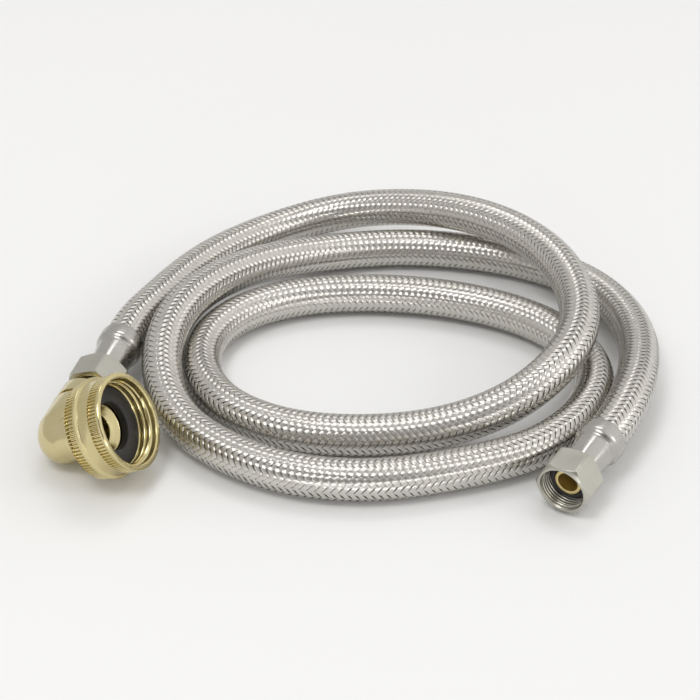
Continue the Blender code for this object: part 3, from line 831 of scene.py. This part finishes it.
@dataclass
class CompressionNut:
    """Hexagon nut with a threaded chamber, chamfered at both ends."""

    end: str
    place: Place
    body: Body
    flats: float = 15.9
    rear: float = 16.7
    face: float = 27.9
    rear_wall: float = 2.2
    hole: float = 9.4
    chamber: float = 13.6
    mouth: float = 14.2
    front_round: float = 15.6
    rear_round: float = 15.0
    front_chamfer: float = 1.1
    rear_chamfer: float = 1.9
    rear_dome: float = 0.8
    pitch: float = 1.06
    thread_rise: float = 0.42

    @property
    def corner(self) -> float:
        """Give how far the hexagon's corners are from the axis."""
        return self.flats / 2 / math.cos(math.pi / 6)

    def build(self) -> list[Piece]:
        """Turn the nut, press its hexagon and cut its thread.

        Returns:
            The nut and its thread.
        """
        corner, hole, chamber = self.corner, self.hole / 2, self.chamber / 2
        front, back = self.front_round / 2, self.rear_round / 2
        floor = self.rear + self.rear_wall
        outline: Outline = [
            (hole, self.rear), (hole, floor), (chamber, floor), (chamber, self.face - 0.6),
            (self.mouth / 2, self.face), (front - 0.15, self.face),
        ]
        for step in range(9):
            share = step / 8
            outline.append((front + (corner - front) * share,
                            self.face - 0.1 - self.front_chamfer * share ** 1.25))
        for step in range(11):
            share = 1 - step / 10
            outline.append((back + (corner - back) * share ** 0.8,
                            self.rear + self.rear_dome + (self.rear_chamfer - self.rear_dome) * share))
        for step in range(1, 7):
            turn = math.pi / 2 * step / 6
            outline.append((hole + 0.4 + (back - hole - 0.4) * math.cos(turn),
                            self.rear + self.rear_dome * (1 - math.sin(turn))))
        obj = lathe(f"{self.end}_compression_nut", outline, segments=180)
        reshape(obj, self.press)
        dress(settle(obj, self.place), SATIN_NICKEL, self.place, self.body, f"{self.end}_hex_nut",
              crease=24.0)
        return [obj, self.thread()]

    def press(self, radius: float, angle: float, _height: float) -> float:
        """Bring the outside in to the hexagon's flats, at any height, with its corners just broken."""
        return min(radius, flat_sided(angle - math.pi / 6, 6, self.flats), self.corner - 0.1)

    def thread(self) -> Piece:
        """Make the nut's inner thread as a rib that winds up its chamber.

        Returns:
            The rib.
        """
        turns = 6
        start = self.face - 0.9 - turns * self.pitch
        obj = inner_thread(f"{self.end}_nut_thread", self.chamber / 2, self.thread_rise,
                           self.pitch * 0.42, self.pitch, turns, start, 72)
        return dress(settle(obj, self.place), SATIN_NICKEL, self.place, self.body, crease=50.0)


def inner_thread(name: str, wall: float, rise: float, half: float, pitch: float, turns: int,
                 start: float, steps: int) -> Piece:
    """Wind a rounded rib up a bore, with its two ends run out into the wall.

    Args:
        name: the piece's name.
        wall: the bore's radius.
        rise: how far the crest stands in from the wall.
        half: half the rib's width along the axis.
        pitch: the climb of one turn.
        turns: how many turns.
        start: the height of the lower end.
        steps: facets in a turn.

    Returns:
        The rib, standing at the origin.
    """
    deselect()
    bpy.ops.mesh.primitive_circle_add(vertices=10, radius=1.0, rotation=(math.pi / 2, 0.0, 0.0))
    obj = bpy.context.object
    obj.name = obj.data.name = name
    bpy.ops.object.transform_apply(location=True, rotation=True, scale=True)
    bpy.ops.object.mode_set(mode="EDIT")
    bpy.ops.mesh.select_all(action="SELECT")
    bpy.ops.transform.resize(value=(rise * MM, 1.0, half * MM), center_override=(0.0, 0.0, 0.0))
    bpy.ops.transform.translate(value=((wall + 0.1) * MM, 0.0, start * MM))
    bpy.ops.object.mode_set(mode="OBJECT")
    winding = obj.modifiers.new("winding", "SCREW")
    winding.axis = "Z"
    winding.angle = 2 * math.pi * turns
    winding.screw_offset = pitch * turns * MM
    winding.steps = winding.render_steps = steps * turns
    bpy.ops.object.modifier_apply(modifier=winding.name)
    low, high = start * MM, (start + turns * pitch) * MM
    run_out = 0.35
    for vertex in obj.data.vertices:
        radius = math.hypot(vertex.co.x, vertex.co.y)
        climbed = (vertex.co.z - low) / (high - low) * turns
        near_end = min(climbed, turns - climbed)
        sink = max(0.0, 1.0 - near_end / run_out) * rise * 0.8 * MM
        vertex.co.x *= (radius + sink) / radius
        vertex.co.y *= (radius + sink) / radius
    close_up(obj)
    return obj


@dataclass
class FreeStem:
    """Brass stem of the free end and the rubber cone washer on its tip."""

    place: Place
    bore: float = 6.3
    tip: float = 8.6
    tip_end: float = 23.9
    tip_root: float = 20.7
    shoulder: float = 12.2
    shoulder_start: float = 19.2
    neck: float = 8.8
    neck_start: float = 5.9
    barb: float = 7.0
    barb_start: float = -3.0
    cone_bore: float = 9.1
    cone_rear: float = 12.5
    cone_front: float = 11.8
    cone_gap: float = 0.3
    cone_bend: float = 1.2
    cone_height: float = 2.9

    def build(self) -> list[Piece]:
        """Turn the stem and mould its washer.

        Returns:
            The stem and the washer.
        """
        stem = lathe("free_end_brass_stem", rounded([
            (self.bore / 2, self.tip_end), (self.tip / 2, self.tip_end),
            (self.tip / 2, self.tip_root), (self.shoulder / 2, self.tip_root),
            (self.shoulder / 2, self.shoulder_start), (self.neck / 2, self.shoulder_start),
            (self.neck / 2, self.neck_start), (self.barb / 2, self.neck_start),
            (self.barb / 2, self.barb_start), (self.bore / 2, self.barb_start),
        ], 0.35), segments=72)
        dress(settle(stem, self.place), DRAWN_BRASS, self.place, Body.HOSE, "free_end_stem",
              crease=40.0)
        front, back = self.tip_root + self.cone_height, self.tip_root + self.cone_gap
        washer = lathe("free_end_cone_seal", rounded([
            (self.cone_bore / 2, front), (self.cone_front / 2, front),
            (self.cone_rear / 2, self.tip_root + self.cone_bend), (self.cone_rear / 2, back),
            (self.cone_bore / 2, back),
        ], 0.4), segments=72)
        dress(settle(washer, self.place), WASHER_RUBBER, self.place, Body.HOSE,
              "free_end_cone_washer", crease=40.0)
        return [stem, washer]


@dataclass
class Elbow:
    """Forged brass elbow: a leg with a round heel, and a tail towards the swivel nut."""

    leg: Place
    tail: Place
    heel: float = 16.8
    heel_rise: float = 1.8
    body: float = 17.8
    swell: float = 5.0
    body_length: float = 13.4
    notch: float = 15.4
    notch_length: float = 1.3
    neck: float = 17.4
    neck_end: float = 20.9
    relief: float = 12.2
    thread: float = 13.0
    leg_end: float = 28.8
    tail_outside: float = 14.6
    tail_root: float = 12.8
    tail_length: float = 11.5
    bore: float = 8.7
    socket: float = 12.6
    socket_depth: float = 6.4
    seat_radius: float = 6.05
    seat_depth: float = 5.0

    def build(self) -> Piece:
        """Turn the leg and the tail, join them and bore them.

        Returns:
            The elbow.
        """
        obj = lathe("forged_brass_elbow", self.leg_outline(), ring=False)
        settle(obj, self.leg)
        outside, tip, bore = self.tail_outside / 2, self.tail_length, self.bore / 2
        boss = lathe("tail_boss", [
            (outside - 0.6, tip), (outside, tip - 0.6), (outside, 4.5), (self.tail_root / 2, 0.0),
        ], ring=False)
        join_cut(obj, settle(boss, self.tail), "UNION")
        drill = lathe("leg_drill", [
            (self.seat_radius + 0.3, self.leg_end + 1.0), (self.seat_radius, self.leg_end),
            (bore, self.leg_end - self.seat_depth), (bore, -bore),
        ], ring=False)
        join_cut(obj, settle(drill, self.leg), "DIFFERENCE")
        floor = tip - self.socket_depth
        drill = lathe("tail_drill", [
            (self.socket / 2, tip + 1.0), (self.socket / 2, floor), (bore - 0.1, floor - 0.01),
            (bore - 0.1, 0.0),
        ], ring=False)
        join_cut(obj, settle(drill, self.tail), "DIFFERENCE")
        return dress(obj, FORGED_BRASS, self.leg, Body.HOSE, "elbow_body", crease=28.0)

    def leg_outline(self) -> Outline:
        """Draw the leg, with its edges broken, from its threaded end down to the heel's pole.

        Returns:
            The leg's (radius, height) points.
        """
        end, length, back = self.neck_end, self.body_length, self.body_length + self.notch_length
        ridge, root, neck = self.thread / 2, self.relief / 2, self.neck / 2
        notch, body, heel = self.notch / 2, self.body / 2, self.heel / 2
        outline: Outline = [
            (ridge - 0.3, self.leg_end), (ridge, self.leg_end - 0.3), (ridge, end + 4.2),
            (root, end + 3.9), (root, end + 0.05), (root + 0.1, end), (neck - 1.1, end),
            (neck - 0.8, end - 0.1), (neck - 0.1, end - 0.8), (neck, end - 1.1), (neck, back + 0.2),
            (neck - 0.1, back + 0.05), (notch + 0.1, back), (notch, back - 0.15),
            (notch, length + 0.15), (notch + 0.1, length), (body - 0.6, length),
            (body - 0.15, length - 0.3), (body, length - 0.8), (body, self.swell + 1.0),
        ]
        for step in range(22):
            angle = math.pi / 2 * step / 22.5
            swell = (body - heel) * max(0.0, 1.0 - step / 7.0) ** 2
            outline.append(((heel + swell) * math.cos(angle), self.heel_rise - heel * math.sin(angle)))
        return outline


@dataclass
class SwivelEnd:
    """Knurled brass swivel nut, the flanged tail that holds it and the flat rubber washer in it."""

    FRONT_KNURL = (1.35, 4.25)
    REAR_KNURL = (9.55, 12.65)
    tail: Place
    lip: float = 25.2
    length: float = 13.3
    teeth: int = 84
    tooth_depth: float = 0.62
    lip_radius: float = 15.0
    band_radius: float = 14.78
    ridge_radius: float = 15.7
    rear_radius: float = 14.3
    thread_radius: float = 12.9
    mouth_radius: float = 13.2
    hole_radius: float = 6.4
    rear_wall: float = 2.5
    pitch: float = 2.21
    flange_back: float = 14.7
    flange_face: float = 16.2
    flange_radius: float = 11.2
    pipe_radius: float = 6.0
    pipe_foot: float = 5.4
    bore_radius: float = 4.35
    washer_gap: float = 0.3
    washer_height: float = 2.7
    washer_radius: float = 12.4
    washer_hole: float = 7.3

    def build(self) -> list[Piece]:
        """Make the nut with its thread, the tail and the washer."""
        return [self.nut(), self.thread(), self.tailpiece(), self.washer()]

    def nut(self) -> Piece:
        """Turn the nut and roll its two knurled bands.

        Returns:
            The nut.
        """
        edge, mouth, hole = self.lip_radius, self.mouth_radius, self.hole_radius
        band, ridge, back = self.band_radius, self.ridge_radius, self.rear_radius
        rear, inside = self.length, self.length - self.rear_wall
        outline: Outline = [(radius, self.lip - behind) for radius, behind in (
            (mouth + 0.5, 0.0), (edge - 0.45, 0.0), (edge - 0.15, 0.1), (edge, 0.35), (edge, 0.9),
            (edge - 0.1, 1.1), (band, 1.2), (band, 1.3), (band, 1.42), (band, 2.8), (band, 4.2),
            (band, 4.32), (band, 4.5), (band - 0.1, 4.8), (band - 0.14, 6.2), (band - 0.08, 7.6),
            (band + 0.12, 8.05), (ridge - 0.3, 8.3), (ridge - 0.05, 8.55), (ridge, 8.85),
            (ridge - 0.05, 9.15), (ridge - 0.3, 9.4), (ridge - 0.42, 9.5), (ridge - 0.45, 9.62),
            (back + 0.8, 11.0), (back + 0.55, 12.6), (back + 0.5, 12.72), (back + 0.35, rear - 0.4),
            (back, rear - 0.12), (back - 0.5, rear), (hole + 0.2, rear), (hole, rear - 0.2),
            (hole, inside), (self.thread_radius, inside), (self.thread_radius, 2.5),
            (mouth - 0.1, 2.2), (mouth, 2.0), (mouth, 0.6), (mouth + 0.15, 0.25),
        )]
        obj = lathe("knurled_swivel_nut", outline, segments=4 * self.teeth)
        reshape(obj, self.knurl)
        return dress(settle(obj, self.tail), TURNED_BRASS, self.tail, Body.TAP_NUT, "swivel_nut",
                     crease=30.0)

    def knurl(self, radius: float, angle: float, height: float) -> float:
        """Press a groove at every second pair of points of the two knurled bands.

        Args:
            radius: how far a point is from the axis.
            angle: its direction from the axis.
            height: how far along the axis it is.

        Returns:
            Its new radius.
        """
        behind = self.lip - height
        step = round(angle / (2 * math.pi) * 4 * self.teeth) % 4
        bands = ((self.FRONT_KNURL, self.band_radius - 0.05), (self.REAR_KNURL, self.rear_radius - 0.2))
        rolled = any(start < behind < end and radius > least for (start, end), least in bands)
        return radius - self.tooth_depth if rolled and step in (2, 3) else radius

    def thread(self) -> Piece:
        """Wind the wide inner thread down to the washer.

        Returns:
            The thread's rib.
        """
        turns = 3
        start = self.lip - 1.9 - turns * self.pitch
        obj = inner_thread("swivel_nut_thread", self.thread_radius, 0.75, self.pitch * 0.36,
                           self.pitch, turns, start, 120)
        return dress(settle(obj, self.tail), TURNED_BRASS, self.tail, Body.TAP_NUT, crease=60.0)

    def tailpiece(self) -> Piece:
        """Turn the flanged tail with its countersunk bore.

        Returns:
            The tail.
        """
        face, foot, bore = self.flange_face, self.pipe_foot, self.bore_radius
        obj = lathe("flanged_brass_tail", rounded([
            (6.9, face), (self.flange_radius, face), (self.flange_radius, self.flange_back),
            (self.pipe_radius, self.flange_back), (self.pipe_radius, foot), (bore, foot),
            (bore, face - 1.9), (5.1, face - 1.5), (6.1, face - 0.8),
        ], 0.3))
        return dress(settle(obj, self.tail), TURNED_BRASS, self.tail, Body.HOSE, "swivel_tailpiece",
                     crease=40.0)

    def washer(self) -> Piece:
        """Mould the flat washer with soft edges.

        Returns:
            The washer.
        """
        low = self.flange_face + self.washer_gap
        high = low + self.washer_height
        obj = lathe("flat_rubber_washer", rounded([
            (self.washer_hole, high), (self.washer_radius, high), (self.washer_radius, low),
            (self.washer_hole, low),
        ], 0.5, 4))
        return dress(settle(obj, self.tail), WASHER_RUBBER, self.tail, Body.TAP_NUT, "hose_washer",
                     crease=40.0)


@dataclass
class Studio:
    """The pale floor, the soft lights and the camera of the photograph.

    Each spread has two angles from its way, in degrees: where a shade begins and where it is full.
    """

    camera_at: Triple = (-0.0025, -0.5297, 0.3607)
    look_down: float = 34.0
    lens: float = 100.0
    floor_size: float = 8.0
    tent: float = 0.66
    camera_shade: float = 0.3
    camera_way: Triple = (0.0, -0.80, 0.60)
    camera_spread: Pair = (34.0, 14.0)
    right_wall: float = 0.35
    right_way: Triple = (0.95, -0.10, 0.30)
    right_spread: Pair = (75.0, 30.0)

    def camera(self) -> None:
        """Stand the camera where the photograph was taken from."""
        eye = bpy.data.cameras.new("camera")
        eye.lens = self.lens
        eye.sensor_width = 36.0
        eye.clip_start = 0.01
        obj = bpy.data.objects.new("camera", eye)
        obj.location = self.camera_at
        obj.rotation_euler = Euler((math.radians(90.0 - self.look_down), 0.0, 0.0))
        bpy.context.scene.collection.objects.link(obj)
        bpy.context.scene.camera = obj

    def floor(self) -> None:
        """Lay the pale floor."""
        deselect()
        bpy.ops.mesh.primitive_plane_add(size=self.floor_size)
        obj = bpy.context.object
        obj.name = "studio_floor"
        paper = bpy.data.materials.new("white paper sweep")
        paper.use_nodes = True
        shader = paper.node_tree.nodes["Principled BSDF"]
        shader.inputs["Base Color"].default_value = linear("#f4f4f4")
        shader.inputs["Roughness"].default_value = 0.9
        shader.inputs["Specular IOR Level"].default_value = 0.1
        obj.data.materials.append(paper)

    def softbox(self, name: str, at: Triple, size: Pair, glow: float) -> None:
        """Hang a softbox that faces the coil.

        Args:
            name: its name.
            at: where it hangs.
            size: its width and height.
            glow: how bright its face is, where white paper is 1.
        """
        lamp = bpy.data.lights.new(name, "AREA")
        lamp.shape = "RECTANGLE"
        lamp.size, lamp.size_y = size
        lamp.energy = glow * math.pi * size[0] * size[1]
        obj = bpy.data.objects.new(name, lamp)
        obj.location = at
        obj.rotation_euler = (-Vector(at)).to_track_quat("-Z", "Y").to_euler()
        bpy.context.scene.collection.objects.link(obj)

    def light(self) -> None:
        """Hang the softboxes, and put the tent round the coil for its metal to reflect."""
        self.softbox("key_softbox", (-0.35, -0.45, 1.1), (0.40, 0.40), 6.0)
        self.softbox("back_softbox", (0.05, 0.6, 1.3), (0.6, 0.4), 3.0)
        self.softbox("low_softbox", (0.05, -1.5, 0.16), (0.8, 0.12), 9.0)
        self.softbox("right_softbox", (1.1, -0.3, 0.6), (0.35, 0.35), 3.5)
        bpy.context.scene.world = self.room()
        bpy.context.scene.view_settings.view_transform = "Standard"

    def room(self) -> bpy.types.World:
        """Make the white tent, dark where the camera looks in and brightest at the right.

        Returns:
            The world that stands for the tent.
        """
        room = bpy.data.worlds.new("white tent")
        room.use_nodes = True
        tree = room.node_tree
        way = add_node(tree, "TexCoord", {}, {}).outputs["Generated"]
        parts = []
        for towards, (wide, narrow), outside, inside in (
                (self.camera_way, self.camera_spread, self.tent, self.tent * self.camera_shade),
                (self.right_way, self.right_spread, 0.0, self.right_wall)):
            facing = add_node(tree, "VectorMath",
                              {"operation": "DOT_PRODUCT", 1: Vector(towards).normalized()}, {0: way})
            shade = add_node(tree, "MapRange",
                             {"interpolation_type": "SMOOTHSTEP",
                              "From Min": math.cos(math.radians(wide)),
                              "From Max": math.cos(math.radians(narrow)),
                              "To Min": outside, "To Max": inside},
                             {"Value": facing.outputs["Value"]})
            parts.append(shade.outputs[0])
        both = add_node(tree, "Math", {"operation": "ADD"}, {0: parts[0], 1: parts[1]})
        background = tree.nodes["Background"]
        background.inputs["Color"].default_value = linear("#fffefc")
        tree.links.new(both.outputs[0], background.inputs["Strength"])
        return room


def main() -> None:
    """Make every piece, in the order camera, hose, fittings, studio."""
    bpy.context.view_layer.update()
    studio = Studio()
    studio.camera()
    route = HoseRoute()
    hose = BraidedHose(route)
    liner, *pieces = hose.build()

    elbow_end = Place(route.elbow_lip, -route.leg)
    free_end = Place(route.free_lip, -route.back)
    # Each turn brings the flats round to where the photograph shows them.
    pieces.append(Ferrule("elbow_end", elbow_end.turned(40.0)).build())
    pieces.append(Ferrule("free_end", free_end.turned(39.0)).build())
    pieces += CompressionNut("elbow_end", elbow_end.turned(50.0), Body.HOSE,
                             front_round=17.2, front_chamfer=0.4).build()
    pieces += CompressionNut("free_end", free_end.turned(33.7), Body.VALVE_NUT).build()
    pieces += FreeStem(free_end).build()
    tail = Place(route.elbow_centre, route.tail)
    Elbow(Place(route.elbow_centre, route.leg), tail).build()
    SwivelEnd(tail).build()
    for node, finish in (("elbow_end_stem", DRAWN_BRASS), ("elbow_end_cone_washer", WASHER_RUBBER)):
        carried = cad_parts[node]
        carried.data.materials.clear()
        carried.data.materials.append(finish.material(elbow_end))
        pieces.append(carried)
    studio.floor()
    studio.light()


if __name__ == "__main__":
    logging.basicConfig(level=logging.INFO)
    main()
